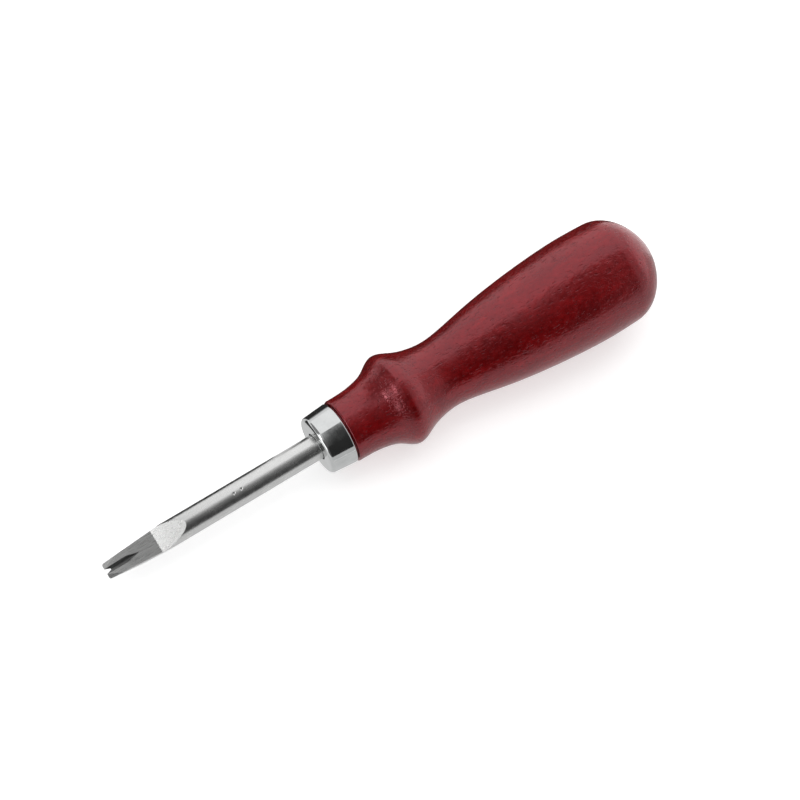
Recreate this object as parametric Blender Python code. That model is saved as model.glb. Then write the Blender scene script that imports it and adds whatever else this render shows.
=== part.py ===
"""A hand edge tool for leather: a forked, grooved blade on a round shank, held by a
plated ferrule in a turned wooden handle.

The tool lies along X with its forked tip at -X and the butt of the handle at +X.
+Z is the side that the flats of the tip are ground on. The origin is the middle of
the tool's length, on the axis of the handle.
"""

import math

import bmesh
import bpy
import numpy as np
from mathutils import Matrix, Vector

MM = 0.001

# Driving dimensions. Places along the tool are distances from the tip.
TOTAL_LENGTH = 147.0 * MM
SIDES = 32  # flats round every turned piece
FIT_GAP = 0.3 * MM  # between neighbouring pieces

SHANK_RADIUS = 3.0 * MM
SHANK_END = 57.5 * MM  # the shoulder where the tang begins
TANG_RADIUS = 2.4 * MM
TANG_END = 100.0 * MM
TANG_CHAMFER = 0.8 * MM
GLUE_GROOVE_DEPTH = 0.35 * MM
GLUE_GROOVE_LENGTH = 2.0 * MM
GLUE_GROOVE_PITCH = 9.0 * MM
GLUE_GROOVE_COUNT = 4
GLUE_GROOVE_FIRST = 0.7  # pitches behind the shank's shoulder

FERRULE_FRONT = 54.5 * MM
FERRULE_LENGTH = 6.5 * MM
FERRULE_FRONT_RADIUS = 7.05 * MM
FERRULE_REAR_RADIUS = 7.5 * MM
FERRULE_FILLET = 0.9 * MM
FERRULE_WALL = 0.5 * MM
FERRULE_LIP_ROUND = 0.45 * MM  # on the outer edge behind, where the wood meets it
FERRULE_HOLE_RADIUS = SHANK_RADIUS + FIT_GAP

HANDLE_FRONT = FERRULE_FRONT + FERRULE_LENGTH + FIT_GAP  # the shoulder behind the ferrule
SHOULDER_ROUND = 0.4 * MM
BORE_END = 102.5 * MM
DRILL_POINT_ANGLE = math.radians(118.0)
ADHESIVE_WALL = 0.8 * MM
ADHESIVE_FRONT = 59.0 * MM

# The handle's outline: (distance behind the shoulder, radius) where the turner would
# set calipers. It runs from the shoulder over the bead and the neck to the bulb.
HANDLE_STATIONS = [
    (0.4 * MM, 7.71 * MM),
    (4.5 * MM, 7.80 * MM),
    (8.0 * MM, 8.33 * MM),
    (10.8 * MM, 9.35 * MM),
    (12.3 * MM, 10.35 * MM),
    (14.4 * MM, 11.32 * MM),
    (16.5 * MM, 10.93 * MM),
    (19.3 * MM, 9.68 * MM),
    (22.0 * MM, 8.88 * MM),
    (25.6 * MM, 8.36 * MM),
    (31.3 * MM, 8.84 * MM),
    (38.5 * MM, 10.23 * MM),
    (47.2 * MM, 11.60 * MM),
    (58.9 * MM, 12.79 * MM),
    (68.5 * MM, 13.20 * MM),
    (74.4 * MM, 13.05 * MM),
]
OUTLINE_STEPS = 52
DOME_STEPS = 9
DOME_AXIAL_POWER = 0.955  # the butt is a little fuller than an ellipse at its edge
DOME_RADIAL_POWER = 1.283  # and a little flatter towards its apex

# The ground tip. Heights are measured from the shank's axis.
REAR_FLAT_START = 20.1 * MM  # where the rear flat leaves the top of the shank
RIDGE_PLACE = 12.75 * MM  # the line across where the two top flats meet
RIDGE_HEIGHT = 0.6 * MM
TIP_TOP_HEIGHT = 0.15 * MM
TIP_THICKNESS = 0.4 * MM
UNDER_FLAT_START = 15.5 * MM
TIP_HALF_WIDTH = 1.85 * MM
SIDE_FLAT_START = 16.5 * MM
PRONG_CORNER = 0.45 * MM
PRONG_BEVEL_LENGTH = 3.3 * MM  # the bevel on top of each prong runs back this far
PRONG_BEVEL_DROP = 0.13 * MM  # and drops this much at the prong's outer corner

NOTCH_HALF_WIDTH = 0.6 * MM
NOTCH_ROOT_RADIUS = 0.24 * MM
NOTCH_DEPTH = 1.3 * MM
GROOVE_HALF_WIDTH = 0.6 * MM
GROOVE_DEPTH = 0.38 * MM
GROOVE_FULL_END = 5.4 * MM  # the groove has its full depth up to here
GROOVE_RUNOUT = 8.2 * MM  # and its cutter has left the surface by here
GROOVE_RUNOUT_LIFT = 0.06 * MM
GROOVE_CUTTER_LIFT = 0.5 * MM  # how far the V cutter stands above the flat

SIZE_DIMPLE_PLACES = (32.6 * MM, 34.5 * MM)
SIZE_DIMPLE_RADIUS = 0.55 * MM
SIZE_DIMPLE_DEPTH = 0.25 * MM

# How many straight pieces stand in for each arc.
FILLET_STEPS = 4
LIP_STEPS = 3
SHOULDER_STEPS = 2
PRONG_CORNER_STEPS = 4
NOTCH_ROOT_STEPS = 6
DIMPLE_SEGMENTS = 12
DIMPLE_RINGS = 6

OVERCUT = 2.0 * MM  # how far cutters stand proud of what they cut
SHARP_ANGLE = math.radians(13.0)  # a little more than between two flats of a turned piece


def clear_scene():
    for obj in list(bpy.data.objects):
        bpy.data.objects.remove(obj, do_unlink=True)


def make_material(name, color, roughness, metallic):
    material = bpy.data.materials.new(name)
    material.use_nodes = True
    shader = material.node_tree.nodes["Principled BSDF"]
    shader.inputs["Base Color"].default_value = (*color, 1.0)
    shader.inputs["Roughness"].default_value = roughness
    shader.inputs["Metallic"].default_value = metallic
    return material


def stained_wood():
    return make_material("stained_wood", (0.16, 0.008, 0.016), 0.35, 0.0)


def bright_plating():
    return make_material("bright_plating", (0.80, 0.81, 0.82), 0.08, 1.0)


def polished_steel():
    return make_material("polished_steel", (0.62, 0.62, 0.61), 0.18, 1.0)


def cured_adhesive():
    return make_material("cured_adhesive", (0.30, 0.22, 0.12), 0.6, 0.0)


def smooth_curve(stations, count):
    """Points on the natural cubic spline through (place, radius) stations."""
    places = np.array([place for place, _ in stations])
    radii = np.array([radius for _, radius in stations])
    spans = np.diff(places)
    slopes = np.diff(radii) / spans
    matrix = np.eye(len(places))
    bends = np.zeros(len(places))
    for i in range(1, len(places) - 1):
        matrix[i, i - 1] = spans[i - 1]
        matrix[i, i] = 2.0 * (spans[i - 1] + spans[i])
        matrix[i, i + 1] = spans[i]
        bends[i] = 6.0 * (slopes[i] - slopes[i - 1])
    seconds = np.linalg.solve(matrix, bends)
    points = []
    for place in np.linspace(places[0], places[-1], count):
        i = min(max(int(np.searchsorted(places, place)) - 1, 0), len(spans) - 1)
        before = place - places[i]
        after = places[i + 1] - place
        cubic = (seconds[i] * after**3 + seconds[i + 1] * before**3) / (6.0 * spans[i])
        left = (radii[i] / spans[i] - seconds[i] * spans[i] / 6.0) * after
        right = (radii[i + 1] / spans[i] - seconds[i + 1] * spans[i] / 6.0) * before
        points.append((float(place), float(cubic + left + right)))
    return points


def quarter_round(corner_place, corner_radius, size, steps):
    """A convex quarter arc that rounds the front outer corner of a turned piece."""
    points = []
    for step in range(steps + 1):
        angle = 0.5 * math.pi * step / steps
        place = corner_place + size * (1.0 - math.sin(angle))
        radius = corner_radius - size * (1.0 - math.cos(angle))
        points.append((place, radius))
    return points[::-1]


def turned_mesh(name, outline):
    """The closed body swept by a closed (place, radius) outline turning about X.

    Corners lie outside the true circle, so that each flat is tangent to it.
    """
    corner = 1.0 / math.cos(math.pi / SIDES)
    first_ring = Matrix.Rotation(math.pi / SIDES, 3, "X")
    bm = bmesh.new()
    verts = []
    for place, radius in outline:
        verts.append(bm.verts.new(first_ring @ Vector((place, 0.0, radius * corner))))
    for i, vert in enumerate(verts):
        bm.edges.new((vert, verts[(i + 1) % len(verts)]))
    bmesh.ops.spin(
        bm,
        geom=bm.verts[:] + bm.edges[:],
        cent=(0.0, 0.0, 0.0),
        axis=(1.0, 0.0, 0.0),
        angle=2.0 * math.pi,
        steps=SIDES,
        use_merge=True,
    )
    bmesh.ops.remove_doubles(bm, verts=bm.verts[:], dist=1e-6)
    on_axis = [edge for edge in bm.edges if not edge.link_faces]
    bmesh.ops.delete(bm, geom=on_axis, context="EDGES")
    bmesh.ops.recalc_face_normals(bm, faces=bm.faces[:])
    return finished_mesh(name, bm)


def finished_mesh(name, bm):
    mesh = bpy.data.meshes.new(name)
    bm.to_mesh(mesh)
    bm.free()
    mesh.shade_smooth()
    mesh.set_sharp_from_angle(angle=SHARP_ANGLE)
    return mesh


def place_object(name, mesh, material, parent, from_tip):
    """Adds a piece whose own origin is this far from the tip of the tool."""
    obj = bpy.data.objects.new(name, mesh)
    bpy.context.scene.collection.objects.link(obj)
    if material is not None:
        mesh.materials.append(material)
    obj.parent = parent
    obj.location = (from_tip - TOTAL_LENGTH / 2.0, 0.0, 0.0)
    return obj


def prism_along_y(name, outline, half_width):
    """A closed prism whose (x, z) outline is extruded across the tool."""
    bm = bmesh.new()
    verts = [bm.verts.new((x, -half_width, z)) for x, z in outline]
    face = bm.faces.new(verts)
    sweep = bmesh.ops.extrude_face_region(bm, geom=[face])
    moved = [item for item in sweep["geom"] if isinstance(item, bmesh.types.BMVert)]
    bmesh.ops.translate(bm, verts=moved, vec=(0.0, 2.0 * half_width, 0.0))
    bmesh.ops.recalc_face_normals(bm, faces=bm.faces[:])
    return finished_mesh(name, bm)


def prism_along_z(name, outline, half_height):
    """A closed prism whose (x, y) outline is extruded up through the tool."""
    bm = bmesh.new()
    verts = [bm.verts.new((x, y, -half_height)) for x, y in outline]
    face = bm.faces.new(verts)
    sweep = bmesh.ops.extrude_face_region(bm, geom=[face])
    moved = [item for item in sweep["geom"] if isinstance(item, bmesh.types.BMVert)]
    bmesh.ops.translate(bm, verts=moved, vec=(0.0, 0.0, 2.0 * half_height))
    bmesh.ops.recalc_face_normals(bm, faces=bm.faces[:])
    return finished_mesh(name, bm)


def blade_outline():
    """The rod before it is ground: shank, shoulder, and tang with glue grooves."""
    outline = [(0.0, 0.0), (0.0, SHANK_RADIUS), (SHANK_END, SHANK_RADIUS)]
    outline.append((SHANK_END, TANG_RADIUS))
    groove_radius = TANG_RADIUS - GLUE_GROOVE_DEPTH
    for i in range(GLUE_GROOVE_COUNT):
        start = SHANK_END + GLUE_GROOVE_PITCH * (i + GLUE_GROOVE_FIRST)
        slope = GLUE_GROOVE_DEPTH
        end = start + GLUE_GROOVE_LENGTH
        outline.append((start, TANG_RADIUS))
        outline.append((start + slope, groove_radius))
        outline.append((end - slope, groove_radius))
        outline.append((end, TANG_RADIUS))
    outline.append((TANG_END - TANG_CHAMFER, TANG_RADIUS))
    outline.append((TANG_END, TANG_RADIUS - TANG_CHAMFER))
    outline.append((TANG_END, 0.0))
    return outline


def top_grind():
    """What grinding takes off above the two top flats."""
    rear_slope = (SHANK_RADIUS - RIDGE_HEIGHT) / (REAR_FLAT_START - RIDGE_PLACE)
    over = OVERCUT
    outline = [
        (-over, TIP_TOP_HEIGHT - front_slope() * over),
        (RIDGE_PLACE, RIDGE_HEIGHT),
        (REAR_FLAT_START + over, SHANK_RADIUS + rear_slope * over),
        (-over, SHANK_RADIUS + rear_slope * over),
    ]
    return prism_along_y("top_grind", outline, SHANK_RADIUS + over)


def under_grind():
    """What grinding takes off below the flat under the tip."""
    tip_height = TIP_TOP_HEIGHT - TIP_THICKNESS
    slope = (tip_height + SHANK_RADIUS) / UNDER_FLAT_START
    over = OVERCUT
    outline = [
        (-over, tip_height + slope * over),
        (-over, -SHANK_RADIUS - over),
        (UNDER_FLAT_START + over, -SHANK_RADIUS - over),
        (UNDER_FLAT_START + over, -SHANK_RADIUS - slope * over),
    ]
    return prism_along_y("under_grind", outline, SHANK_RADIUS + over)


def front_slope():
    """How much the front flat rises for each unit of length."""
    return (RIDGE_HEIGHT - TIP_TOP_HEIGHT) / RIDGE_PLACE


def side_taper():
    """How much each side of the tip widens for each unit of length."""
    return (SHANK_RADIUS - TIP_HALF_WIDTH) / SIDE_FLAT_START


def side_grind(side):
    """What grinding takes off beside the tip, with the prong's rounded corner."""
    slope = side_taper()
    over = OVERCUT
    outline = []
    for step in range(PRONG_CORNER_STEPS + 1):
        angle = 0.5 * math.pi * step / PRONG_CORNER_STEPS
        x = PRONG_CORNER * (1.0 - math.sin(angle))
        y = TIP_HALF_WIDTH - PRONG_CORNER * (1.0 - math.cos(angle)) + slope * x
        outline.append((x, side * y))
    outline.reverse()
    outline.append((SIDE_FLAT_START + over, side * (SHANK_RADIUS + slope * over)))
    outline.append((SIDE_FLAT_START + over, side * (SHANK_RADIUS + 2.0 * over)))
    outline.append((-over, side * (SHANK_RADIUS + 2.0 * over)))
    outline.append((-over, outline[0][1]))
    return prism_along_z("side_grind", outline, SHANK_RADIUS + over)


def prong_bevel(side):
    """What grinding takes off the top of one prong, towards its outer corner."""
    inner = Vector((0.0, side * NOTCH_HALF_WIDTH, TIP_TOP_HEIGHT))
    corner = Vector((0.0, side * TIP_HALF_WIDTH, TIP_TOP_HEIGHT - PRONG_BEVEL_DROP))
    back_half_width = TIP_HALF_WIDTH + side_taper() * PRONG_BEVEL_LENGTH
    back_height = TIP_TOP_HEIGHT + front_slope() * PRONG_BEVEL_LENGTH
    back = Vector((PRONG_BEVEL_LENGTH, side * back_half_width, back_height))
    across = (corner - inner).normalized()
    along = (back - inner).normalized()
    reach = 2.0 * OVERCUT
    base = [inner - along * reach, inner + along * reach * 2.0]
    base += [base[1] + across * reach, base[0] + across * reach]
    bm = bmesh.new()
    low = [bm.verts.new(point) for point in base]
    high = [bm.verts.new(point + Vector((0.0, 0.0, OVERCUT))) for point in base]
    bm.faces.new(low)
    bm.faces.new(high)
    for i in range(4):
        j = (i + 1) % 4
        bm.faces.new((low[i], low[j], high[j], high[i]))
    bmesh.ops.recalc_face_normals(bm, faces=bm.faces[:])
    return finished_mesh("prong_bevel", bm)


def notch_cutter():
    """The notch between the prongs, seen from above: tapered, with a round root."""
    root = NOTCH_DEPTH - NOTCH_ROOT_RADIUS
    slope = (NOTCH_HALF_WIDTH - NOTCH_ROOT_RADIUS) / root
    outline = [(-OVERCUT, NOTCH_HALF_WIDTH + slope * OVERCUT)]
    for step in range(NOTCH_ROOT_STEPS + 1):
        angle = math.pi * step / NOTCH_ROOT_STEPS
        x = root + NOTCH_ROOT_RADIUS * math.sin(angle)
        outline.append((x, NOTCH_ROOT_RADIUS * math.cos(angle)))
    outline.append((-OVERCUT, -NOTCH_HALF_WIDTH - slope * OVERCUT))
    return prism_along_z("notch_cutter", outline, SHANK_RADIUS)


def groove_grind():
    """A V cutter that follows the front flat, then lifts out of it."""
    widen = GROOVE_HALF_WIDTH / GROOVE_DEPTH
    bm = bmesh.new()
    rings = []
    for place, depth in (
        (-OVERCUT, GROOVE_DEPTH),
        (GROOVE_FULL_END, GROOVE_DEPTH),
        (GROOVE_RUNOUT, -GROOVE_RUNOUT_LIFT),
    ):
        flat = TIP_TOP_HEIGHT + front_slope() * place
        top = flat + GROOVE_CUTTER_LIFT
        half_width = widen * (depth + GROOVE_CUTTER_LIFT)
        corners = ((0.0, flat - depth), (half_width, top), (-half_width, top))
        rings.append([bm.verts.new((place, y, z)) for y, z in corners])
    for near, far in zip(rings, rings[1:]):
        for i in range(3):
            j = (i + 1) % 3
            bm.faces.new((near[i], near[j], far[j], far[i]))
    bm.faces.new(rings[0])
    bm.faces.new(rings[-1])
    bmesh.ops.recalc_face_normals(bm, faces=bm.faces[:])
    return finished_mesh("groove_grind", bm)


def dimple_punch():
    """A rounded punch for one dot of the size mark."""
    bm = bmesh.new()
    bmesh.ops.create_uvsphere(
        bm,
        u_segments=DIMPLE_SEGMENTS,
        v_segments=DIMPLE_RINGS,
        radius=SIZE_DIMPLE_RADIUS,
    )
    return finished_mesh("dimple_punch", bm)


def cut_away(target, cutters):
    """Takes the cutters away from the target, one after another, and removes them."""
    for cutter in cutters:
        modifier = target.modifiers.new(cutter.name, "BOOLEAN")
        modifier.operation = "DIFFERENCE"
        modifier.object = cutter
    graph = bpy.context.evaluated_depsgraph_get()
    mesh = bpy.data.meshes.new_from_object(target.evaluated_get(graph))
    mesh.shade_smooth()
    mesh.set_sharp_from_angle(angle=SHARP_ANGLE)
    target.modifiers.clear()
    target.data = mesh
    for cutter in cutters:
        bpy.data.objects.remove(cutter, do_unlink=True)


def build_blade(parent):
    mesh = turned_mesh("blade", blade_outline())
    blade = place_object("blade", mesh, polished_steel(), parent, 0.0)
    cutter_meshes = [top_grind(), under_grind(), notch_cutter(), groove_grind()]
    for side in (1.0, -1.0):
        cutter_meshes += [side_grind(side), prong_bevel(side)]
    cutters = [place_object(cutter.name, cutter, None, parent, 0.0) for cutter in cutter_meshes]
    for from_tip in SIZE_DIMPLE_PLACES:
        punch = place_object("dimple_punch", dimple_punch(), None, parent, from_tip)
        punch.location.z = SHANK_RADIUS + SIZE_DIMPLE_RADIUS - SIZE_DIMPLE_DEPTH
        cutters.append(punch)
    cut_away(blade, cutters)


def ferrule_outline():
    """Seen from the front face: along the outside, then back along the inside."""
    outline = [(0.0, FERRULE_HOLE_RADIUS)]
    outline += quarter_round(0.0, FERRULE_FRONT_RADIUS, FERRULE_FILLET, FILLET_STEPS)
    for step in range(LIP_STEPS + 1):
        angle = 0.5 * math.pi * step / LIP_STEPS
        place = FERRULE_LENGTH - FERRULE_LIP_ROUND * (1.0 - math.sin(angle))
        outline.append((place, FERRULE_REAR_RADIUS - FERRULE_LIP_ROUND * (1.0 - math.cos(angle))))
    outline.append((FERRULE_LENGTH, FERRULE_REAR_RADIUS - FERRULE_WALL))
    outline.append((FERRULE_FILLET, FERRULE_FRONT_RADIUS - FERRULE_WALL))
    outline.append((FERRULE_WALL, FERRULE_FRONT_RADIUS - FERRULE_FILLET))
    outline.append((FERRULE_WALL, FERRULE_HOLE_RADIUS))
    return outline


def build_ferrule(parent):
    mesh = turned_mesh("ferrule", ferrule_outline())
    place_object("ferrule", mesh, bright_plating(), parent, FERRULE_FRONT)


def butt_dome():
    """The dome that closes the handle behind its last station."""
    start, radius = HANDLE_STATIONS[-1]
    length = TOTAL_LENGTH - HANDLE_FRONT - start
    points = []
    for step in range(1, DOME_STEPS + 1):
        angle = 0.5 * math.pi * step / DOME_STEPS
        place = start + length * math.sin(angle) ** DOME_AXIAL_POWER
        points.append((place, radius * max(math.cos(angle), 0.0) ** DOME_RADIAL_POWER))
    points[-1] = (start + length, 0.0)
    return points


def handle_outline():
    """Measured from the shoulder: the spigot, the outside, then the bore."""
    bore_radius = TANG_RADIUS + ADHESIVE_WALL + 2.0 * FIT_GAP
    spigot_front = FERRULE_FRONT + FERRULE_WALL + FIT_GAP - HANDLE_FRONT
    spigot_wall = FERRULE_WALL + FIT_GAP
    bore_end = BORE_END - HANDLE_FRONT
    drill_tip = bore_end + bore_radius / math.tan(DRILL_POINT_ANGLE / 2.0)
    chamfer = FERRULE_FILLET - FERRULE_WALL + FIT_GAP
    outline = [
        (drill_tip, 0.0),
        (bore_end, bore_radius),
        (spigot_front, bore_radius),
        (spigot_front, FERRULE_FRONT_RADIUS - spigot_wall - chamfer),
        (spigot_front + chamfer, FERRULE_FRONT_RADIUS - spigot_wall),
        (0.0, FERRULE_REAR_RADIUS - spigot_wall),
    ]
    outline += quarter_round(0.0, HANDLE_STATIONS[0][1], SHOULDER_ROUND, SHOULDER_STEPS)[:-1]
    outline += smooth_curve(HANDLE_STATIONS, OUTLINE_STEPS)
    outline += butt_dome()
    return outline


def build_handle(parent):
    mesh = turned_mesh("handle", handle_outline())
    place_object("handle", mesh, stained_wood(), parent, HANDLE_FRONT)


def adhesive_outline():
    """A cup round the tang, closed behind the tang's end."""
    inner = TANG_RADIUS + FIT_GAP
    outer = inner + ADHESIVE_WALL
    length = BORE_END - FIT_GAP - ADHESIVE_FRONT
    tang_end = TANG_END + FIT_GAP - ADHESIVE_FRONT
    return [
        (0.0, inner),
        (0.0, outer),
        (length, outer),
        (length, 0.0),
        (tang_end, 0.0),
        (tang_end, inner),
    ]


def build_adhesive(parent):
    mesh = turned_mesh("tang_adhesive", adhesive_outline())
    place_object("tang_adhesive", mesh, cured_adhesive(), parent, ADHESIVE_FRONT)


def build_tool():
    clear_scene()
    tool = bpy.data.objects.new("leather_edge_tool", None)
    bpy.context.scene.collection.objects.link(tool)
    build_blade(tool)
    build_ferrule(tool)
    build_handle(tool)
    build_adhesive(tool)


build_tool()
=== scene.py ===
import math

import bmesh
import bpy
import numpy as np
from mathutils import Matrix, Vector


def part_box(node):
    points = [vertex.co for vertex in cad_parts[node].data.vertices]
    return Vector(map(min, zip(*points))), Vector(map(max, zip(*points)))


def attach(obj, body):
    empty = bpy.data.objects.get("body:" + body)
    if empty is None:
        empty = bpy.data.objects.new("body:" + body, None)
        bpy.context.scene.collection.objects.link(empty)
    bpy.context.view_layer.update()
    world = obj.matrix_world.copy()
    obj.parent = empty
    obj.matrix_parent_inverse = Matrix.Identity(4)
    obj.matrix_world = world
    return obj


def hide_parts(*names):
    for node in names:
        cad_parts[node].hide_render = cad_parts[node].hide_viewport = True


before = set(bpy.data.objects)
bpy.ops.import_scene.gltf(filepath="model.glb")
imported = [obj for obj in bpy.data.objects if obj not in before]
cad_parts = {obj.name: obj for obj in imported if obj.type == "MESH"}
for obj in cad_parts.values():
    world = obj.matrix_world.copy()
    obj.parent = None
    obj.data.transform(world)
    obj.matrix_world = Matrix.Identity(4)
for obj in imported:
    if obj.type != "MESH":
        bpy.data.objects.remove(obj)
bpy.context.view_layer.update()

MM = 0.001

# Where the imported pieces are. Places along X come from these, in the row frame.
TIP_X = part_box("blade")[0].x
TANG_END_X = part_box("blade")[1].x
SHANK_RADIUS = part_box("blade")[1].z
FERRULE_FRONT_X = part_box("ferrule")[0].x
FERRULE_REAR_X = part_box("ferrule")[1].x
FERRULE_REAR_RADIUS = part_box("ferrule")[1].z
SPIGOT_FRONT_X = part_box("handle")[0].x
BUTT_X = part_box("handle")[1].x
ADHESIVE_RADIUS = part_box("tang_adhesive")[1].z
ADHESIVE_END_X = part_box("tang_adhesive")[1].x

# The design's own sizes, as in the CAD source. Places are measured from the tip or,
# on the handle, from its shoulder.
FIT_GAP = 0.3 * MM
SHANK_LENGTH = 57.5 * MM
TANG_RADIUS = 2.4 * MM
TANG_CHAMFER = 0.8 * MM
GLUE_GROOVE_DEPTH = 0.35 * MM
GLUE_GROOVE_LENGTH = 2.0 * MM
GLUE_GROOVE_PITCH = 9.0 * MM
GLUE_GROOVE_COUNT = 4
GLUE_GROOVE_FIRST = 0.7  # pitches behind the shank's shoulder

FERRULE_FRONT_RADIUS = 7.05 * MM
FERRULE_FILLET = 0.9 * MM
FERRULE_WALL = 0.5 * MM
FERRULE_HOLE_RADIUS = SHANK_RADIUS + FIT_GAP
FERRULE_HOLE_ROUND = 0.12 * MM  # only here, the CAD keeps this edge sharp
FERRULE_LIP = 0.45 * MM
FERRULE_EDGE = 0.03 * MM  # keeps the shading of the straight side out of the rounds

SHOULDER_X = FERRULE_REAR_X + FIT_GAP
SHOULDER_ROUND = 0.4 * MM
DRILL_POINT_ANGLE = math.radians(118.0)
# The turned outside, as (place behind the shoulder, radius).
HANDLE_STATIONS = [
    (0.4 * MM, 7.71 * MM),
    (4.5 * MM, 7.80 * MM),
    (8.0 * MM, 8.33 * MM),
    (10.8 * MM, 9.35 * MM),
    (12.3 * MM, 10.35 * MM),
    (14.4 * MM, 11.32 * MM),
    (16.5 * MM, 10.93 * MM),
    (19.3 * MM, 9.68 * MM),
    (22.0 * MM, 8.88 * MM),
    (25.6 * MM, 8.36 * MM),
    (31.3 * MM, 8.84 * MM),
    (38.5 * MM, 10.23 * MM),
    (47.2 * MM, 11.60 * MM),
    (58.9 * MM, 12.79 * MM),
    (68.5 * MM, 13.20 * MM),
    (74.4 * MM, 13.05 * MM),
]
BEAD_STATION = 5
BULB_STATION = 14
DOME_AXIAL_POWER = 0.955
DOME_RADIAL_POWER = 1.283

REAR_FLAT_START = 20.1 * MM
RIDGE_PLACE = 12.75 * MM
RIDGE_HEIGHT = 0.6 * MM
TIP_TOP_HEIGHT = 0.15 * MM
TIP_THICKNESS = 0.4 * MM
UNDER_FLAT_START = 15.5 * MM
TIP_HALF_WIDTH = 1.85 * MM
SIDE_FLAT_START = 16.5 * MM
CROWN_SLOPE = 0.03  # how much steeper the crowned front flat is at the tip, only here
CROWN_STEPS = 10
PRONG_CORNER = 0.45 * MM
PRONG_BEVEL_LENGTH = 3.3 * MM
PRONG_BEVEL_DROP = 0.13 * MM
NOTCH_HALF_WIDTH = 0.6 * MM
NOTCH_ROOT_RADIUS = 0.24 * MM
NOTCH_DEPTH = 1.3 * MM
GROOVE_HALF_WIDTH = 0.6 * MM
GROOVE_DEPTH = 0.38 * MM
GROOVE_FULL_END = 5.4 * MM
GROOVE_RUNOUT = 8.2 * MM
GROOVE_RUNOUT_LIFT = 0.06 * MM
GROOVE_CUTTER_LIFT = 0.5 * MM
SIZE_DIMPLE_PLACES = (32.6 * MM, 34.5 * MM)
SIZE_DIMPLE_RADIUS = 0.55 * MM
SIZE_DIMPLE_DEPTH = 0.25 * MM
OVERCUT = 2.0 * MM

# How finely the shown pieces are made.
SIDES = 192
OUTLINE_STEPS = 170
DOME_STEPS = 40
ROUND_STEPS = 8
SHARP_ANGLE = math.radians(24.0)
BLADE_SHARP_ANGLE = math.radians(12.0)  # the tip's flats meet at smaller angles
DIMPLE_SEGMENTS = 32

# The stained fibres under the lacquer add a red sheen to its white reflections.
FIBER_IOR = 2.1
FIBER_TINT = (1.0, 0.345, 0.395)


# ---------------------------------------------------------------- mesh helpers


def add_object(name, mesh, materials):
    obj = bpy.data.objects.new(name, mesh)
    bpy.context.scene.collection.objects.link(obj)
    for material in materials:
        mesh.materials.append(material)
    return obj


def mesh_from(name, bm, smooth=True):
    mesh = bpy.data.meshes.new(name)
    bmesh.ops.recalc_face_normals(bm, faces=bm.faces[:])
    bm.to_mesh(mesh)
    bm.free()
    if smooth:
        mesh.shade_smooth()
        mesh.set_sharp_from_angle(angle=SHARP_ANGLE)
    return mesh


def turned_mesh(name, outline):
    """The closed body swept by a closed (x, radius) outline turning about X."""
    bm = bmesh.new()
    rings = []
    for x, radius in outline:
        if radius <= 0.0:
            rings.append([bm.verts.new((x, 0.0, 0.0))])
            continue
        ring = []
        for side in range(SIDES):
            angle = 2.0 * math.pi * side / SIDES
            ring.append(bm.verts.new((x, radius * math.sin(angle), radius * math.cos(angle))))
        rings.append(ring)
    for near, far in zip(rings, rings[1:] + rings[:1]):
        if len(near) == 1 and len(far) == 1:
            continue
        for side in range(SIDES):
            after = (side + 1) % SIDES
            corners = []
            corners += [near[side], near[after]] if len(near) > 1 else [near[0]]
            corners += [far[after], far[side]] if len(far) > 1 else [far[0]]
            bm.faces.new(corners)
    return mesh_from(name, bm)


def quarter_round(x, radius, size, x_way, radius_way):
    """A quarter arc in the corner at (x, radius), whose sides lead away in the two ways, 1 or -1.

    It starts on the side along x and ends on the side along the radius.
    """
    points = []
    for step in range(ROUND_STEPS + 1):
        angle = 0.5 * math.pi * step / ROUND_STEPS
        along = size * (1.0 - math.sin(angle))
        out = size * (1.0 - math.cos(angle))
        points.append((x + x_way * along, radius + radius_way * out))
    return points


def smooth_curve(stations, count):
    """Points on the natural cubic spline through (place, radius) stations."""
    places = np.array([place for place, _ in stations])
    radii = np.array([radius for _, radius in stations])
    spans = np.diff(places)
    slopes = np.diff(radii) / spans
    matrix = np.eye(len(places))
    bends = np.zeros(len(places))
    for i in range(1, len(places) - 1):
        matrix[i, i - 1] = spans[i - 1]
        matrix[i, i] = 2.0 * (spans[i - 1] + spans[i])
        matrix[i, i + 1] = spans[i]
        bends[i] = 6.0 * (slopes[i] - slopes[i - 1])
    seconds = np.linalg.solve(matrix, bends)
    points = []
    for place in np.linspace(places[0], places[-1], count):
        i = min(max(int(np.searchsorted(places, place)) - 1, 0), len(spans) - 1)
        before = place - places[i]
        after = places[i + 1] - place
        cubic = (seconds[i] * after**3 + seconds[i + 1] * before**3) / (6.0 * spans[i])
        left = (radii[i] / spans[i] - seconds[i] * spans[i] / 6.0) * after
        right = (radii[i + 1] / spans[i] - seconds[i + 1] * spans[i] / 6.0) * before
        points.append((float(place), float(cubic + left + right)))
    return points


def prism(name, outline, lift):
    """A closed prism: the outline's points plus and minus the lift vector."""
    bm = bmesh.new()
    low = [bm.verts.new(Vector(point) - lift) for point in outline]
    high = [bm.verts.new(Vector(point) + lift) for point in outline]
    bm.faces.new(low)
    bm.faces.new(high)
    for i in range(len(outline)):
        j = (i + 1) % len(outline)
        bm.faces.new((low[i], low[j], high[j], high[i]))
    return mesh_from(name, bm, smooth=False)


# ---------------------------------------------------------------- materials


def new_material(name, color, roughness, metallic):
    material = bpy.data.materials.new(name)
    material.use_nodes = True
    shader = material.node_tree.nodes["Principled BSDF"]
    shader.inputs["Base Color"].default_value = (*color, 1.0)
    shader.inputs["Roughness"].default_value = roughness
    shader.inputs["Metallic"].default_value = metallic
    return material, shader


def add_node(tree, kind, **settings):
    node = tree.nodes.new(kind)
    for key, value in settings.items():
        setattr(node, key, value)
    return node


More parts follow.
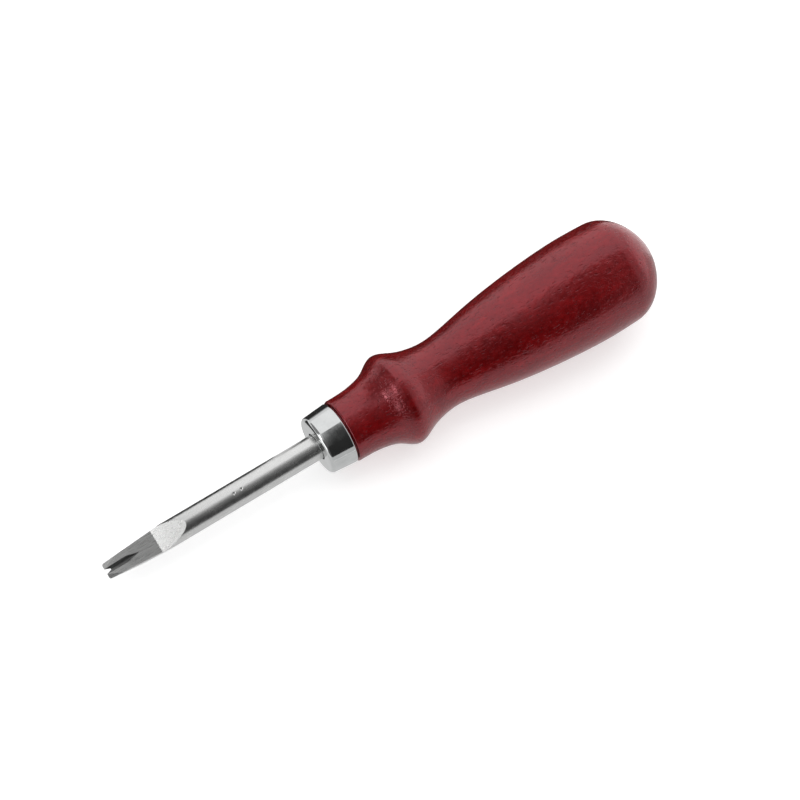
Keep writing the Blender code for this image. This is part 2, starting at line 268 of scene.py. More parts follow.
def stretched_noise(tree, scale, size, detail=3.0, roughness=0.6, distortion=0.0):
    """Noise in object space. scale stretches it along X, Y and Z; size is in features per metre."""
    place = add_node(tree, "ShaderNodeTexCoord")
    mapping = add_node(tree, "ShaderNodeMapping")
    mapping.inputs["Scale"].default_value = scale
    tree.links.new(place.outputs["Object"], mapping.inputs["Vector"])
    texture = add_node(tree, "ShaderNodeTexNoise")
    texture.inputs["Scale"].default_value = size
    texture.inputs["Detail"].default_value = detail
    texture.inputs["Roughness"].default_value = roughness
    texture.inputs["Distortion"].default_value = distortion
    tree.links.new(mapping.outputs["Vector"], texture.inputs["Vector"])
    return texture.outputs["Fac"]


def color_ramp(tree, factor, stops):
    """The colour at factor between (position, colour) stops, from 0 to 1."""
    ramp = add_node(tree, "ShaderNodeValToRGB")
    elements = ramp.color_ramp.elements
    while len(elements) < len(stops):
        elements.new(0.5)
    for element, (position, color) in zip(elements, stops):
        element.position = position
        element.color = (*color, 1.0)
    tree.links.new(factor, ramp.inputs["Fac"])
    return ramp.outputs["Color"]


def map_range(tree, value, low, high, to_low, to_high):
    """Carries low to high over to to_low to to_high, and holds it at the ends."""
    node = add_node(tree, "ShaderNodeMapRange")
    node.inputs["From Min"].default_value = low
    node.inputs["From Max"].default_value = high
    node.inputs["To Min"].default_value = to_low
    node.inputs["To Max"].default_value = to_high
    tree.links.new(value, node.inputs["Value"])
    return node.outputs["Result"]


def mix_colors(tree, factor, first, second, blend="MIX"):
    node = add_node(tree, "ShaderNodeMix", data_type="RGBA", blend_type=blend)
    if isinstance(factor, float):
        node.inputs["Factor"].default_value = factor
    else:
        tree.links.new(factor, node.inputs["Factor"])
    for socket, color in ((node.inputs[6], first), (node.inputs[7], second)):
        if isinstance(color, tuple):
            socket.default_value = (*color, 1.0)
        else:
            tree.links.new(color, socket)
    return node.outputs[2]


def bump(tree, height, distance, strength, normal=None):
    """A bumped normal, on top of the given one if there is one."""
    node = add_node(tree, "ShaderNodeBump")
    node.inputs["Distance"].default_value = distance
    node.inputs["Strength"].default_value = strength
    tree.links.new(height, node.inputs["Height"])
    if normal is not None:
        tree.links.new(normal, node.inputs["Normal"])
    return node.outputs["Normal"]


def stained_wood():
    """Dark red stain under a satin lacquer that lets fine pores along the grain show."""
    material, shader = new_material("stained_wood", (0.17, 0.002, 0.003), roughness=0.25, metallic=0.0)
    tree = material.node_tree
    figure = stretched_noise(tree, scale=(0.35, 1.0, 1.0), size=260.0, detail=5.0, distortion=0.7)
    mottle = stretched_noise(tree, scale=(0.7, 1.0, 1.0), size=900.0)
    pores = stretched_noise(tree, scale=(0.35, 1.0, 1.0), size=2400.0, detail=2.0, roughness=0.5)
    stain = color_ramp(
        tree,
        figure,
        [
            (0.34, (0.105, 0.0005, 0.0009)),
            (0.50, (0.140, 0.0007, 0.0012)),
            (0.66, (0.180, 0.0012, 0.0018)),
        ],
    )
    grain = color_ramp(
        tree,
        mottle,
        [
            (0.34, (0.78, 0.75, 0.76)),
            (0.52, (1.0, 1.0, 1.0)),
            (0.70, (1.15, 1.2, 1.2)),
        ],
    )
    stained = mix_colors(tree, 1.0, stain, grain, "MULTIPLY")
    pore_mask = map_range(tree, pores, 0.28, 0.38, to_low=1.0, to_high=0.0)
    color = mix_colors(tree, pore_mask, stained, (0.08, 0.001, 0.0015))
    tree.links.new(color, shader.inputs["Base Color"])
    roughness = map_range(tree, mottle, 0.3, 0.7, to_low=0.13, to_high=0.23)
    tree.links.new(roughness, shader.inputs["Roughness"])
    pore_height = map_range(tree, pores, 0.28, 0.44, to_low=0.0, to_high=1.0)
    waves = stretched_noise(tree, scale=(0.6, 1.0, 1.0), size=600.0, detail=4.0)
    surface = bump(tree, pore_height, distance=0.05 * MM, strength=0.8)
    surface = bump(tree, mottle, distance=0.09 * MM, strength=0.8, normal=surface)
    surface = bump(tree, waves, distance=0.13 * MM, strength=0.6, normal=surface)
    tree.links.new(surface, shader.inputs["Normal"])
    shader.inputs["IOR"].default_value = FIBER_IOR
    shader.inputs["Specular Tint"].default_value = (*FIBER_TINT, 1.0)
    return material


def bright_plating():
    """Bright plating with faint marks from polishing and handling."""
    material, shader = new_material("bright_plating", (0.64, 0.65, 0.65), roughness=0.1, metallic=1.0)
    tree = material.node_tree
    smudges = stretched_noise(tree, scale=(1.0, 1.0, 1.0), size=420.0)
    roughness = map_range(tree, smudges, 0.35, 0.7, to_low=0.06, to_high=0.13)
    tree.links.new(roughness, shader.inputs["Roughness"])
    marks = stretched_noise(tree, scale=(4.0, 0.4, 0.4), size=900.0, detail=2.0)
    surface = bump(tree, marks, distance=0.01 * MM, strength=0.12)
    tree.links.new(surface, shader.inputs["Normal"])
    tint = color_ramp(tree, smudges, [(0.3, (0.60, 0.61, 0.61)), (0.7, (0.66, 0.67, 0.67))])
    tree.links.new(tint, shader.inputs["Base Color"])
    return material


def polished_steel():
    """The rod's steel, polished along its length."""
    material, shader = new_material("polished_steel", (0.68, 0.68, 0.675), roughness=0.24, metallic=1.0)
    tree = material.node_tree
    streaks = stretched_noise(tree, scale=(0.08, 1.0, 1.0), size=3200.0, detail=2.0)
    mottle = stretched_noise(tree, scale=(0.5, 1.0, 1.0), size=800.0)
    tint = color_ramp(tree, mottle, [(0.3, (0.64, 0.64, 0.635)), (0.7, (0.72, 0.72, 0.715))])
    tree.links.new(tint, shader.inputs["Base Color"])
    roughness = map_range(tree, mottle, 0.3, 0.7, to_low=0.21, to_high=0.29)
    tree.links.new(roughness, shader.inputs["Roughness"])
    surface = bump(tree, streaks, distance=0.01 * MM, strength=0.25)
    surface = bump(tree, mottle, distance=0.02 * MM, strength=0.3, normal=surface)
    tree.links.new(surface, shader.inputs["Normal"])
    return material


def ground_steel(name, dark, light):
    """Steel finished on a fine belt, with the marks along the tool. Given darker tones, it also serves as
    painted shade.
    """
    material, shader = new_material(name, light, roughness=0.3, metallic=1.0)
    tree = material.node_tree
    scratches = stretched_noise(tree, scale=(0.05, 1.0, 1.0), size=5200.0, detail=2.0)
    tint = color_ramp(tree, scratches, [(0.35, dark), (0.65, light)])
    tree.links.new(tint, shader.inputs["Base Color"])
    roughness = map_range(tree, scratches, 0.3, 0.7, to_low=0.24, to_high=0.36)
    tree.links.new(roughness, shader.inputs["Roughness"])
    surface = bump(tree, scratches, distance=0.01 * MM, strength=0.4)
    tree.links.new(surface, shader.inputs["Normal"])
    return material


def cured_adhesive():
    """Cloudy amber resin, hidden between the tang and the bore."""
    material, shader = new_material("cured_adhesive", (0.30, 0.22, 0.12), roughness=0.5, metallic=0.0)
    tree = material.node_tree
    cloud = stretched_noise(tree, scale=(1.0, 1.0, 1.0), size=350.0)
    tint = color_ramp(tree, cloud, [(0.3, (0.24, 0.17, 0.09)), (0.7, (0.36, 0.27, 0.15))])
    tree.links.new(tint, shader.inputs["Base Color"])
    surface = bump(tree, cloud, distance=0.05 * MM, strength=0.3)
    tree.links.new(surface, shader.inputs["Normal"])
    return material


def plain_floor():
    """White table top that glows a little, and more where the lamps don't reach."""
    material, shader = new_material("floor", (0.92, 0.92, 0.92), roughness=0.45, metallic=0.0)
    shader.inputs["Specular IOR Level"].default_value = 0.4
    shader.inputs["Emission Color"].default_value = (1.0, 1.0, 1.0, 1.0)
    tree = material.node_tree
    place = add_node(tree, "ShaderNodeTexCoord")
    distance = add_node(tree, "ShaderNodeVectorMath", operation="LENGTH")
    tree.links.new(place.outputs["Object"], distance.inputs[0])
    glow = map_range(tree, distance.outputs["Value"], *FLOOR_FADE, FLOOR_GLOW, 1.0)
    tree.links.new(glow, shader.inputs["Emission Strength"])
    return material


def light_card(name, radiance):
    """An even glow. A number, or (place across the tool, number) stops for a graded one."""
    material = bpy.data.materials.new(name)
    material.use_nodes = True
    tree = material.node_tree
    tree.nodes.clear()
    output = add_node(tree, "ShaderNodeOutputMaterial")
    glow = add_node(tree, "ShaderNodeEmission")
    if isinstance(radiance, float):
        glow.inputs["Strength"].default_value = radiance
    else:
        place = add_node(tree, "ShaderNodeTexCoord")
        axes = add_node(tree, "ShaderNodeSeparateXYZ")
        tree.links.new(place.outputs["Object"], axes.inputs["Vector"])
        low, high = radiance[0][0], radiance[-1][0]
        factor = map_range(tree, axes.outputs["Y"], low, high, 0.0, 1.0)
        stops = [((y - low) / (high - low), (number, number, number)) for y, number in radiance]
        tree.links.new(color_ramp(tree, factor, stops), glow.inputs["Strength"])
    tree.links.new(glow.outputs["Emission"], output.inputs["Surface"])
    return material


# ---------------------------------------------------------------- the blade


def rod_outline():
    """The rod before it is ground: shank, shoulder, and tang with glue grooves."""
    shoulder = TIP_X + SHANK_LENGTH
    groove_radius = TANG_RADIUS - GLUE_GROOVE_DEPTH
    outline = [(TIP_X, 0.0), (TIP_X, SHANK_RADIUS), (shoulder, SHANK_RADIUS), (shoulder, TANG_RADIUS)]
    for i in range(GLUE_GROOVE_COUNT):
        start = shoulder + GLUE_GROOVE_PITCH * (i + GLUE_GROOVE_FIRST)
        end = start + GLUE_GROOVE_LENGTH
        outline.append((start, TANG_RADIUS))
        outline.append((start + GLUE_GROOVE_DEPTH, groove_radius))  # sides at 45 degrees
        outline.append((end - GLUE_GROOVE_DEPTH, groove_radius))
        outline.append((end, TANG_RADIUS))
    outline.append((TANG_END_X - TANG_CHAMFER, TANG_RADIUS))
    outline.append((TANG_END_X, TANG_RADIUS - TANG_CHAMFER))
    outline.append((TANG_END_X, 0.0))
    return outline


def flat_slope():
    """How much the front flat rises for each unit of length."""
    return (RIDGE_HEIGHT - TIP_TOP_HEIGHT) / RIDGE_PLACE


def front_flat_height(place):
    """The front flat, crowned a little by the belt that ground it."""
    across = place / RIDGE_PLACE
    crown = CROWN_SLOPE * RIDGE_PLACE * across * (1.0 - across)
    return TIP_TOP_HEIGHT + flat_slope() * place + crown


def side_slope():
    """How much each side of the tip widens for each unit of length."""
    return (SHANK_RADIUS - TIP_HALF_WIDTH) / SIDE_FLAT_START


def top_grind():
    """What grinding takes off the top: the front flat, the ridge and the rear flat."""
    rear_slope = (SHANK_RADIUS - RIDGE_HEIGHT) / (REAR_FLAT_START - RIDGE_PLACE)
    high = SHANK_RADIUS + rear_slope * OVERCUT
    outline = [(TIP_X - OVERCUT, 0.0, TIP_TOP_HEIGHT - (flat_slope() + CROWN_SLOPE) * OVERCUT)]
    for step in range(CROWN_STEPS + 1):
        place = RIDGE_PLACE * step / CROWN_STEPS
        outline.append((TIP_X + place, 0.0, front_flat_height(place)))
    outline.append((TIP_X + REAR_FLAT_START + OVERCUT, 0.0, high))
    outline.append((TIP_X - OVERCUT, 0.0, high))
    return prism("top_grind", outline, Vector((0.0, SHANK_RADIUS + OVERCUT, 0.0)))


def under_grind():
    """What grinding takes off below, from the tip's lower edge to full thickness."""
    tip_height = TIP_TOP_HEIGHT - TIP_THICKNESS
    slope = (tip_height + SHANK_RADIUS) / UNDER_FLAT_START
    low = -SHANK_RADIUS - OVERCUT
    outline = [
        (TIP_X - OVERCUT, 0.0, tip_height + slope * OVERCUT),
        (TIP_X - OVERCUT, 0.0, low),
        (TIP_X + UNDER_FLAT_START + OVERCUT, 0.0, low),
        (TIP_X + UNDER_FLAT_START + OVERCUT, 0.0, -SHANK_RADIUS - slope * OVERCUT),
    ]
    return prism("under_grind", outline, Vector((0.0, SHANK_RADIUS + OVERCUT, 0.0)))


def side_grind(side):
    """What grinding takes off beside the tip, with the prong's rounded corner."""
    slope = side_slope()
    corner = quarter_round(0.0, TIP_HALF_WIDTH, PRONG_CORNER, 1, -1)
    outline = [(TIP_X + x, side * (y + slope * x), 0.0) for x, y in reversed(corner)]
    back = TIP_X + SIDE_FLAT_START + OVERCUT
    outline.append((back, side * (SHANK_RADIUS + slope * OVERCUT), 0.0))
    outline.append((back, side * (SHANK_RADIUS + 2.0 * OVERCUT), 0.0))
    outline.append((TIP_X - OVERCUT, side * (SHANK_RADIUS + 2.0 * OVERCUT), 0.0))
    outline.append((TIP_X - OVERCUT, outline[0][1], 0.0))
    return prism("side_grind", outline, Vector((0.0, 0.0, SHANK_RADIUS + OVERCUT)))


def prong_bevel(side):
    """What grinding takes off the top of one prong, towards its outer corner."""
    inner = Vector((TIP_X, side * NOTCH_HALF_WIDTH, TIP_TOP_HEIGHT))
    corner = Vector((TIP_X, side * TIP_HALF_WIDTH, TIP_TOP_HEIGHT - PRONG_BEVEL_DROP))
    back_half_width = TIP_HALF_WIDTH + side_slope() * PRONG_BEVEL_LENGTH
    back_height = TIP_TOP_HEIGHT + flat_slope() * PRONG_BEVEL_LENGTH
    back = Vector((TIP_X + PRONG_BEVEL_LENGTH, side * back_half_width, back_height))
    across = (corner - inner).normalized()
    along = (back - inner).normalized()
    reach = 2.0 * OVERCUT
    half_lift = Vector((0.0, 0.0, OVERCUT / 2.0))
    base = [inner - along * reach, inner + along * reach * 2.0]
    base += [base[1] + across * reach, base[0] + across * reach]
    return prism("prong_bevel", [point + half_lift for point in base], half_lift)


def notch_cutter():
    """The notch between the prongs, seen from above: tapered, with a round root."""
    root = NOTCH_DEPTH - NOTCH_ROOT_RADIUS
    slope = (NOTCH_HALF_WIDTH - NOTCH_ROOT_RADIUS) / root
    outline = [(TIP_X - OVERCUT, NOTCH_HALF_WIDTH + slope * OVERCUT, 0.0)]
    for step in range(2 * ROUND_STEPS + 1):
        angle = 0.5 * math.pi * step / ROUND_STEPS
        x = root + NOTCH_ROOT_RADIUS * math.sin(angle)
        outline.append((TIP_X + x, NOTCH_ROOT_RADIUS * math.cos(angle), 0.0))
    outline.append((TIP_X - OVERCUT, -NOTCH_HALF_WIDTH - slope * OVERCUT, 0.0))
    return prism("notch_cutter", outline, Vector((0.0, 0.0, SHANK_RADIUS)))


def groove_grind():
    """A V cutter that follows the front flat, then lifts out of it."""
    widen = GROOVE_HALF_WIDTH / GROOVE_DEPTH
    bm = bmesh.new()
    rings = []
    for place, depth in (
        (-OVERCUT, GROOVE_DEPTH),
        (GROOVE_FULL_END, GROOVE_DEPTH),
        (GROOVE_RUNOUT, -GROOVE_RUNOUT_LIFT),
    ):
        flat = TIP_TOP_HEIGHT + flat_slope() * place
        half_width = widen * (depth + GROOVE_CUTTER_LIFT)
        top = flat + GROOVE_CUTTER_LIFT
        corners = ((0.0, flat - depth), (half_width, top), (-half_width, top))
        rings.append([bm.verts.new((TIP_X + place, y, z)) for y, z in corners])
    for near, far in zip(rings, rings[1:]):
        for i in range(3):
            j = (i + 1) % 3
            bm.faces.new((near[i], near[j], far[j], far[i]))
    bm.faces.new(rings[0])
    bm.faces.new(rings[-1])
    return mesh_from("groove_grind", bm, smooth=False)


def dimple_punch(place):
    """A ball that leaves a round size mark in the top of the shank."""
    bm = bmesh.new()
    rings = DIMPLE_SEGMENTS // 2
    bmesh.ops.create_uvsphere(bm, u_segments=DIMPLE_SEGMENTS, v_segments=rings, radius=SIZE_DIMPLE_RADIUS)
    height = SHANK_RADIUS + SIZE_DIMPLE_RADIUS - SIZE_DIMPLE_DEPTH
    bmesh.ops.translate(bm, verts=bm.verts[:], vec=(TIP_X + place, 0.0, height))
    return mesh_from("dimple_punch", bm, smooth=False)


def bake_modifiers(obj):
    """Gives the object the mesh that its modifiers make, and takes them off."""
    graph = bpy.context.evaluated_depsgraph_get()
    mesh = bpy.data.meshes.new_from_object(obj.evaluated_get(graph))
    obj.modifiers.clear()
    obj.data = mesh


def build_blade():
    """The rod, less all that grinding and punching take off it."""
    rod_steel = polished_steel()
    flat_steel = ground_steel("ground_steel", (0.60, 0.60, 0.595), (0.70, 0.70, 0.695))
    # The groove's material is a darker copy of the ground steel: painted shade for the shade deep inside
    # the narrow groove.
    groove_painted_shade = ground_steel("groove_painted_shade", (0.26, 0.26, 0.26), (0.40, 0.40, 0.395))
    blade = add_object("edge_blade", turned_mesh("edge_blade", rod_outline()), [rod_steel])
    cutter_meshes = [top_grind(), under_grind(), notch_cutter()]
    for side in (1.0, -1.0):
        cutter_meshes += [side_grind(side), prong_bevel(side)]
    cutters = [add_object(mesh.name, mesh, [flat_steel]) for mesh in cutter_meshes]
    cutters.append(add_object("groove_grind", groove_grind(), [groove_painted_shade]))
    for place in SIZE_DIMPLE_PLACES:
        cutters.append(add_object("dimple_punch", dimple_punch(place), [rod_steel]))
    for cutter in cutters:
        modifier = blade.modifiers.new(cutter.name, "BOOLEAN")
        modifier.operation = "DIFFERENCE"
        modifier.object = cutter
        modifier.material_mode = "TRANSFER"
    bake_modifiers(blade)
    for cutter in cutters:
        bpy.data.objects.remove(cutter, do_unlink=True)
    blade.data.shade_smooth()
    blade.data.set_sharp_from_angle(angle=BLADE_SHARP_ANGLE)
    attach(blade, "root")
    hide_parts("blade")


# ---------------------------------------------------------------- ferrule and handle


def ferrule_outline():
    """From the hole's edge along the outside, over the rear lip, and back inside."""
    front = FERRULE_FRONT_X
    rear = FERRULE_REAR_X
    outline = quarter_round(front, FERRULE_HOLE_RADIUS, FERRULE_HOLE_ROUND, 1, 1)
    outline += reversed(quarter_round(front, FERRULE_FRONT_RADIUS, FERRULE_FILLET, 1, -1))
    slope = (FERRULE_REAR_RADIUS - FERRULE_FRONT_RADIUS) / (rear - FERRULE_LIP - front - FERRULE_FILLET)
    outline.append((front + FERRULE_FILLET + FERRULE_EDGE, FERRULE_FRONT_RADIUS + slope * FERRULE_EDGE))
    outline.append((rear - FERRULE_LIP - FERRULE_EDGE, FERRULE_REAR_RADIUS - slope * FERRULE_EDGE))
    outline += quarter_round(rear, FERRULE_REAR_RADIUS, FERRULE_LIP, -1, -1)
    outline.append((rear, FERRULE_REAR_RADIUS - FERRULE_WALL))
    outline.append((front + FERRULE_FILLET, FERRULE_FRONT_RADIUS - FERRULE_WALL))
    outline.append((front + FERRULE_WALL, FERRULE_FRONT_RADIUS - FERRULE_FILLET))
    outline.append((front + FERRULE_WALL, FERRULE_HOLE_RADIUS))
    return outline


def build_ferrule():
    """The pressed cap, open behind, with a hole for the shank."""
    mesh = turned_mesh("ferrule_cap", ferrule_outline())
    ferrule = add_object("ferrule_cap", mesh, [bright_plating()])
    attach(ferrule, "root")
    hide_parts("ferrule")


def butt_dome():
    """The rounded end behind the last station, drawn in a little more than an ellipse."""
    start, radius = HANDLE_STATIONS[-1]
    length = BUTT_X - SHOULDER_X - start
    points = []
    for step in range(1, DOME_STEPS):
        angle = 0.5 * math.pi * step / DOME_STEPS
        place = start + length * math.sin(angle) ** DOME_AXIAL_POWER
        points.append((place, radius * math.cos(angle) ** DOME_RADIAL_POWER))
    return points + [(start + length, 0.0)]


def handle_outline():
    """The drilled bore, the spigot inside the ferrule, then the turned outside."""
    bore_radius = ADHESIVE_RADIUS + FIT_GAP
    bore_end = ADHESIVE_END_X + FIT_GAP
    spigot_wall = FERRULE_WALL + FIT_GAP
    chamfer = FERRULE_FILLET - FERRULE_WALL + FIT_GAP
    outline = [
        (bore_end + bore_radius / math.tan(DRILL_POINT_ANGLE / 2.0), 0.0),
        (bore_end, bore_radius),
        (SPIGOT_FRONT_X, bore_radius),
        (SPIGOT_FRONT_X, FERRULE_FRONT_RADIUS - spigot_wall - chamfer),
        (SPIGOT_FRONT_X + chamfer, FERRULE_FRONT_RADIUS - spigot_wall),
        (SHOULDER_X, FERRULE_REAR_RADIUS - spigot_wall),
    ]
    shoulder = quarter_round(SHOULDER_X, HANDLE_STATIONS[0][1], SHOULDER_ROUND, 1, -1)
    outline += reversed(shoulder[1:])  # its first point is the first station
    outside = smooth_curve(HANDLE_STATIONS, OUTLINE_STEPS) + butt_dome()
    outline += [(SHOULDER_X + place, radius) for place, radius in outside]
    return outline


def build_handle():
    """The turned wood, with the spigot and the bore inside it."""
    mesh = turned_mesh("turned_handle", handle_outline())
    handle = add_object("turned_handle", mesh, [stained_wood()])
    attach(handle, "root")
    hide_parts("handle")


def finish_adhesive():
    """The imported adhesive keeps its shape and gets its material."""
    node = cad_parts["tang_adhesive"]
    node.data.materials.clear()
    node.data.materials.append(cured_adhesive())


# ---------------------------------------------------------------- stage

BEAD_X = SHOULDER_X + HANDLE_STATIONS[BEAD_STATION][0]
BEAD_RADIUS = HANDLE_STATIONS[BEAD_STATION][1]
BULB_X = SHOULDER_X + HANDLE_STATIONS[BULB_STATION][0]
BULB_RADIUS = HANDLE_STATIONS[BULB_STATION][1]
FLOOR_HALF_SIZE = 1.2
FLOOR_GLOW = 0.50
FLOOR_FADE = (0.2, 0.75)  # where the lamps' light on the floor runs out, and its glow makes up
FLOOR_CARD_LIFT = 0.3 * MM

# What reflections see of the room: (component of the direction, radiance) stops, added up.
GLOW_ACROSS = [
    (-1.0, 0.025),
    (-0.5, 0.033),
    (-0.16, 0.050),
    (-0.05, 0.060),
    (0.06, 0.080),
    (0.17, 0.120),
    (0.30, 0.165),
    (0.39, 0.20),
]
GLOW_ALONG = [
    (-1.0, 0.10),
    (-0.3, 0.08),
    (-0.1, 0.0),
    (0.15, 0.0),
    (0.25, 0.04),
    (0.45, 0.13),
    (0.55, 0.42),
    (0.65, 0.54),
    (0.84, 0.56),
    (0.92, 1.20),
]

ROOM_FILL = 0.12  # what rough surfaces get of the room
BACKDROP_WHITE = 1.0

# Long cards on both sides of the tool, by their edges' angles round its axis, in degrees
# from straight up towards -Y.
SIDE_CARD_DISTANCE = 0.30
SOFTBOX_ANGLES = (-23, -91)
SOFTBOX_ENDS = (-0.035, 0.45)
SOFTBOX_RADIANCE = 1.12
LOW_CARD_ANGLES = (74, 91)
LOW_CARD_ENDS = (-0.35, 0.45)
LOW_CARD_RADIANCE = 0.63

# Level cards above the tool: name, ends along X, sides along Y, height, radiance.
HIGH_CARDS = [
    ("tip_card", (-0.30, -0.070), (0.0, 0.15), 0.26, 0.62),
    ("hot_spot", (-0.27, -0.215), (0.04, 0.15), 0.25, 5.5),
    ("crown_card", (-0.20, -0.075), (0.0, 0.19), 0.60, 0.95),
]

# Level cards that grow brighter towards +Y: name, ends along X, height.
GAP_CARDS = [
    ("low_gap", (-0.04, -0.013), 0.12),
    ("high_gap", (0.045, 0.13), 0.60),
]
# Their brightness: (place along Y for each unit of height, radiance).
GAP_STOPS = [
    (-0.60, 0.10),
    (-0.25, 0.16),
    (-0.05, 0.26),
    (0.04, 0.36),
    (0.14, 0.50),
    (0.25, 0.70),
    (0.43, 1.0),
]

# Upright cards in front of the tip: name, sides along Y, heights, radiance.
END_CARD_X = -0.27
END_CARDS = [
    ("end_card", (-0.25, 0.12), (-0.01, 0.06), 1.1),
    ("end_spot", (0.0, 0.12), (0.06, 0.19), 2.2),
    ("end_side", (-0.15, 0.0), (0.06, 0.19), 1.9),
]

# Cards on the floor, darker than it: name, corners in X and Y, radiance.
FLOOR_CARDS = [
    ("near_shade", [(-0.3, -0.3), (0.3, -0.3), (0.3, 0.0), (-0.3, 0.0)], 0.70),
    ("face_shade", [(-0.026, -0.01), (-0.0185, -0.01), (-0.0185, 0.04), (-0.026, 0.04)], 0.70),
    ("far_shade", [(-0.3, 0.05), (0.3, 0.07), (0.3, 0.45), (-0.3, 0.45)], 0.92),
    ("shank_flag", [(-0.10, 0.002), (-0.026, 0.002), (-0.026, 0.045), (-0.10, 0.045)], 0.05),
    ("grip_flag", [(-0.0185, 0.002), (0.08, 0.002), (0.10, 0.083), (-0.0185, 0.042)], 0.03),
    ("grip_fade", [(-0.0185, 0.042), (0.10, 0.083), (0.105, 0.11), (-0.0185, 0.058)], 0.35),
]

# Lamps that light the rough surfaces: name, place, target, width and height, watts.
LAMPS = [
    ("key", (0.02, 0.17, 0.30), (0.0, 0.0, 0.0), (0.8, 0.30), 0.73),
    ("fill", (0.08, -0.26, 0.05), (0.03, 0.0, 0.0), (0.5, 0.10), 0.20),
    ("overhead", (-0.05, 0.05, 0.7), (0.0, 0.0, 0.0), (0.7, 0.7), 1.8),
]

CAMERA_LENS = 91.02
SENSOR_WIDTH = 36.0
CLIP_START = 0.01
CLIP_END = 10.0
CAMERA_DISTANCE = 0.46
CAMERA_TARGET = Vector((2.78 * MM, 0.0, 0.0))
CAMERA_TILT = math.radians(14.6)  # from straight above, towards the tip
CAMERA_ROLL = math.radians(8.0)  # and towards -Y
AXIS_ANGLE = math.radians(30.72)  # how steeply the tool runs up the picture
FRAMING = (0.66 * MM, -0.25 * MM)  # how far the view moves right and up of the target


def quad(name, corners, material):
    """A flat four-sided piece of the stage."""
    bm = bmesh.new()
    bm.faces.new([bm.verts.new(corner) for corner in corners])
    obj = add_object(name, mesh_from(name, bm, smooth=False), [material])
    return obj


def floor_height(x):
    """The floor slopes a little, because the bead and the bulb both lie on it."""
    slope = (BULB_RADIUS - BEAD_RADIUS) / (BULB_X - BEAD_X)
    return -BEAD_RADIUS - slope * (x - BEAD_X)


def place_floor():
    corners = []
    for sx, sy in ((-1, -1), (1, -1), (1, 1), (-1, 1)):
        x = sx * FLOOR_HALF_SIZE
        corners.append((x, sy * FLOOR_HALF_SIZE, floor_height(x)))
    quad("floor", corners, plain_floor())


def unseen(obj, diffuse):
    """Hides a card from the camera. Reflections see it, and rough surfaces only with diffuse."""
    obj.visible_camera = False
    obj.visible_diffuse = diffuse
    obj.visible_shadow = False


def around(angle, distance, x):
    """A point at this angle from straight up, towards -Y, about the tool's axis."""
    return (x, -distance * math.sin(angle), distance * math.cos(angle))


def side_card(name, angles, ends, radiance, diffuse):
    """A flat card along the tool whose long edges are at the two angles."""
    first, last = (math.radians(angle) for angle in angles)
    corners = [
        around(first, SIDE_CARD_DISTANCE, ends[0]),
        around(first, SIDE_CARD_DISTANCE, ends[1]),
        around(last, SIDE_CARD_DISTANCE, ends[1]),
        around(last, SIDE_CARD_DISTANCE, ends[0]),
    ]
    unseen(quad(name, corners, light_card(name, radiance)), diffuse)


def high_card(name, ends, sides, height, radiance):
    """A level card above the tool."""
    corners = [(ends[0], sides[0], height), (ends[1], sides[0], height)]
    corners += [(ends[1], sides[1], height), (ends[0], sides[1], height)]
    unseen(quad(name, corners, light_card(name, radiance)), diffuse=False)


def gap_card(name, ends, height):
    """A graded level card, whose width and stops grow with its height."""
    stops = [(height * place, radiance) for place, radiance in GAP_STOPS]
    high_card(name, ends, (stops[0][0], stops[-1][0]), height, stops)


def end_card(name, sides, heights, radiance):
    """An upright card in front of the tip."""
    corners = [(END_CARD_X, sides[0], heights[0]), (END_CARD_X, sides[1], heights[0])]
    corners += [(END_CARD_X, sides[1], heights[1]), (END_CARD_X, sides[0], heights[1])]
    unseen(quad(name, corners, light_card(name, radiance)), diffuse=False)


def floor_card(name, corners, radiance):
    """A card lying on the floor."""
    points = [(x, y, floor_height(x) + FLOOR_CARD_LIFT) for x, y in corners]
    unseen(quad(name, points, light_card(name, radiance)), diffuse=False)


def area_lamp(name, place, target, size, energy):
    """A soft lamp that reflections and the camera don't see."""
    data = bpy.data.lights.new(name, "AREA")
    data.shape = "RECTANGLE"
    data.size, data.size_y = size
    data.energy = energy
    lamp = bpy.data.objects.new(name, data)
    bpy.context.scene.collection.objects.link(lamp)
    lamp.location = place
    lamp.rotation_euler = (Vector(target) - Vector(place)).to_track_quat("-Z", "Y").to_euler()
    lamp.visible_glossy = False
    lamp.visible_camera = False


def place_lights():
    side_card("softbox", SOFTBOX_ANGLES, SOFTBOX_ENDS, SOFTBOX_RADIANCE, diffuse=True)
    side_card("low_card", LOW_CARD_ANGLES, LOW_CARD_ENDS, LOW_CARD_RADIANCE, diffuse=False)
    for card in HIGH_CARDS:
        high_card(*card)
    for card in GAP_CARDS:
        gap_card(*card)
    for card in END_CARDS:
        end_card(*card)
    for card in FLOOR_CARDS:
        floor_card(*card)
    for lamp in LAMPS:
        area_lamp(*lamp)


def pick(tree, choice, other, chosen):
    """The chosen number where choice is 1, and the other socket where it is 0."""
    node = add_node(tree, "ShaderNodeMix", data_type="FLOAT")
    tree.links.new(choice, node.inputs["Factor"])
    tree.links.new(other, node.inputs["A"])
    node.inputs["B"].default_value = chosen
    return node.outputs["Result"]


def glow_along(tree, component, stops):
    """Radiance that follows one component of the direction, from -1 to 1."""
    factor = map_range(tree, component, -1.0, 1.0, 0.0, 1.0)
    return color_ramp(tree, factor, [(0.5 + 0.5 * place, (glow, glow, glow)) for place, glow in stops])


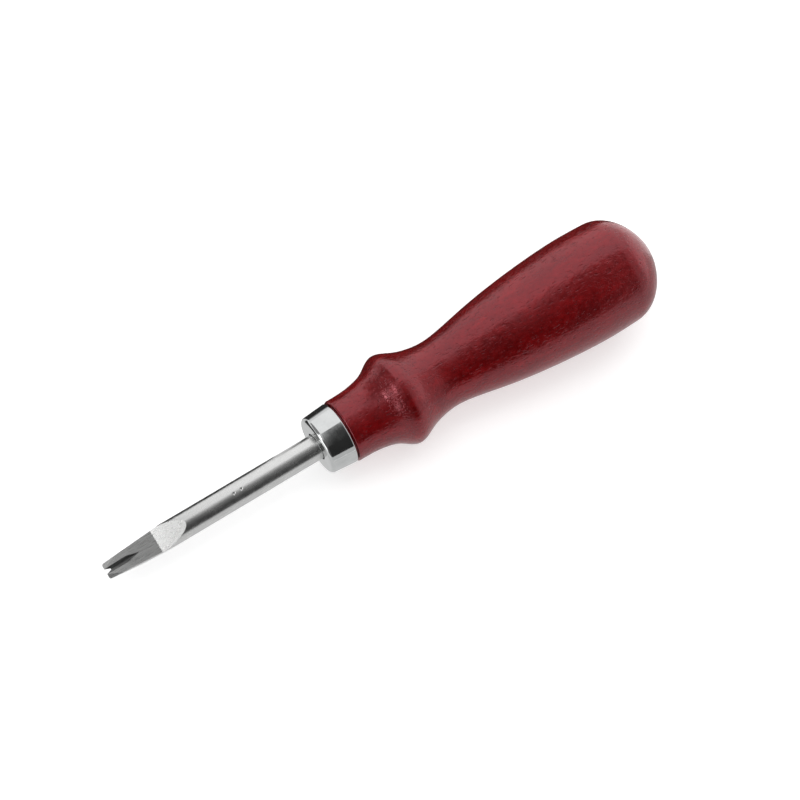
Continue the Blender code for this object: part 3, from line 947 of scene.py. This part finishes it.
def place_world():
    """White behind the floor, a soft fill on rough surfaces, and the room's glow in reflections."""
    world = bpy.data.worlds.new("studio")
    world.use_nodes = True
    bpy.context.scene.world = world
    tree = world.node_tree
    tree.nodes.clear()
    output = add_node(tree, "ShaderNodeOutputWorld")
    back = add_node(tree, "ShaderNodeBackground")
    path = add_node(tree, "ShaderNodeLightPath")
    direction = add_node(tree, "ShaderNodeTexCoord")
    axes = add_node(tree, "ShaderNodeSeparateXYZ")
    tree.links.new(direction.outputs["Generated"], axes.inputs["Vector"])
    dusk = add_node(tree, "ShaderNodeMath", operation="ADD")
    tree.links.new(glow_along(tree, axes.outputs["Y"], GLOW_ACROSS), dusk.inputs[0])
    tree.links.new(glow_along(tree, axes.outputs["X"], GLOW_ALONG), dusk.inputs[1])
    soft = pick(tree, path.outputs["Is Diffuse Ray"], dusk.outputs["Value"], ROOM_FILL)
    back.inputs["Color"].default_value = (1.0, 1.0, 1.0, 1.0)
    strength = pick(tree, path.outputs["Is Camera Ray"], soft, BACKDROP_WHITE)
    tree.links.new(strength, back.inputs["Strength"])
    tree.links.new(back.outputs["Background"], output.inputs["Surface"])


def place_camera():
    """Turned so that the tool runs up the picture at its angle, and moved to frame it."""
    back = Vector(
        (
            -math.sin(CAMERA_TILT),
            -math.cos(CAMERA_TILT) * math.sin(CAMERA_ROLL),
            math.cos(CAMERA_TILT) * math.cos(CAMERA_ROLL),
        )
    )
    along = Vector((1.0, 0.0, 0.0))
    along = (along - along.dot(back) * back).normalized()
    over = back.cross(along)
    right = math.cos(AXIS_ANGLE) * along - math.sin(AXIS_ANGLE) * over
    up = math.sin(AXIS_ANGLE) * along + math.cos(AXIS_ANGLE) * over
    data = bpy.data.cameras.new("camera")
    data.lens = CAMERA_LENS
    data.sensor_width = SENSOR_WIDTH
    data.clip_start = CLIP_START
    data.clip_end = CLIP_END
    camera = bpy.data.objects.new("camera", data)
    bpy.context.scene.collection.objects.link(camera)
    place = CAMERA_TARGET + back * CAMERA_DISTANCE + FRAMING[0] * right + FRAMING[1] * up
    rotation = Matrix((right, up, back)).transposed()
    camera.matrix_world = Matrix.Translation(place) @ rotation.to_4x4()
    bpy.context.scene.camera = camera


build_blade()
build_ferrule()
build_handle()
finish_adhesive()
place_floor()
place_lights()
place_world()
place_camera()
bpy.context.scene.view_settings.view_transform = "Standard"
